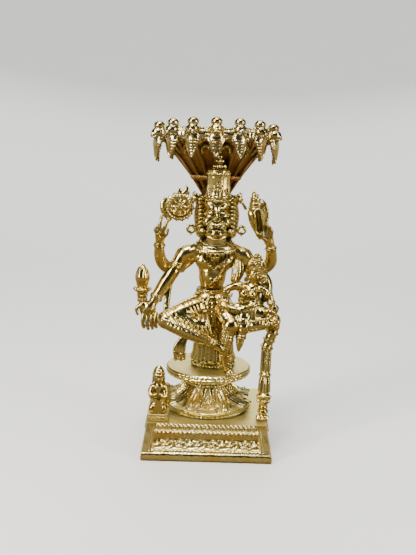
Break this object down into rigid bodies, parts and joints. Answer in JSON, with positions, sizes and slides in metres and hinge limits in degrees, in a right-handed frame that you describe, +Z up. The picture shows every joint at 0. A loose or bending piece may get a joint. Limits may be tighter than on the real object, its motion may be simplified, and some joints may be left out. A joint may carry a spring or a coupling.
{
  "type": "seated deity figurine",
  "caption": "Cast brass seated four-armed lion-faced deity with consort, under a serpent-hood canopy on a lotus pedestal and stepped plinth.",
  "frame": {"origin": "middle of the plinth's flat underside", "axes": "+Z up, -Y towards the front that the deity faces, +X towards the deity's own left side"},
  "size_m": [0.0663, 0.0536, 0.1495],
  "materials": {
    "base_brass": "polished cast brass with darker recesses",
    "figure_brass": "bright polished cast brass, worn edges, dark residue in recesses",
    "serpent_brass": "polished cast brass with brown residue",
    "hood_brass": "duller coppery brown brass with reddish residue"
  },
  "bodies": {
    "root": {"plinth": "base_brass", "lotus_base": "base_brass", "lotus_disc": "base_brass", "seat_stool": "figure_brass", "front_pleats": "figure_brass", "pelvis": "figure_brass", "left_leg": "figure_brass", "left_foot": "figure_brass", "right_leg": "figure_brass", "right_foot": "figure_brass", "sash_end": "figure_brass", "torso": "figure_brass", "waist_belt": "figure_brass", "collar": "figure_brass", "head": "figure_brass", "mane_right": "figure_brass", "earring_right": "figure_brass", "mane_left": "figure_brass", "earring_left": "figure_brass", "crown": "figure_brass", "crown_finial": "figure_brass", "ear_ornament_right": "figure_brass", "ear_ornament_left": "figure_brass", "right_arm": "figure_brass", "right_hand": "figure_brass", "scarf_end": "figure_brass", "lotus_bud": "figure_brass", "rear_right_arm": "figure_brass", "discus": "figure_brass", "rear_left_arm": "figure_brass", "conch": "figure_brass", "left_arm": "figure_brass", "consort_hips": "figure_brass", "consort_legs": "figure_brass", "consort_torso": "figure_brass", "consort_right_arm": "figure_brass", "consort_left_arm": "figure_brass", "garland": "figure_brass", "consort_head": "figure_brass", "consort_crown": "figure_brass", "mace_shaft": "figure_brass", "mace_head": "figure_brass", "attendant_base": "base_brass", "attendant_body": "figure_brass", "attendant_arms": "figure_brass", "attendant_head": "figure_brass", "attendant_wing": "figure_brass", "canopy_stem": "serpent_brass", "canopy_fan": "hood_brass", "canopy_band": "hood_brass", "serpent_head_1": "serpent_brass", "serpent_head_2": "serpent_brass", "serpent_head_3": "serpent_brass", "serpent_head_4": "serpent_brass", "serpent_head_5": "serpent_brass", "serpent_head_6": "serpent_brass", "serpent_head_7": "serpent_brass"}
  },
  "joints": []
}
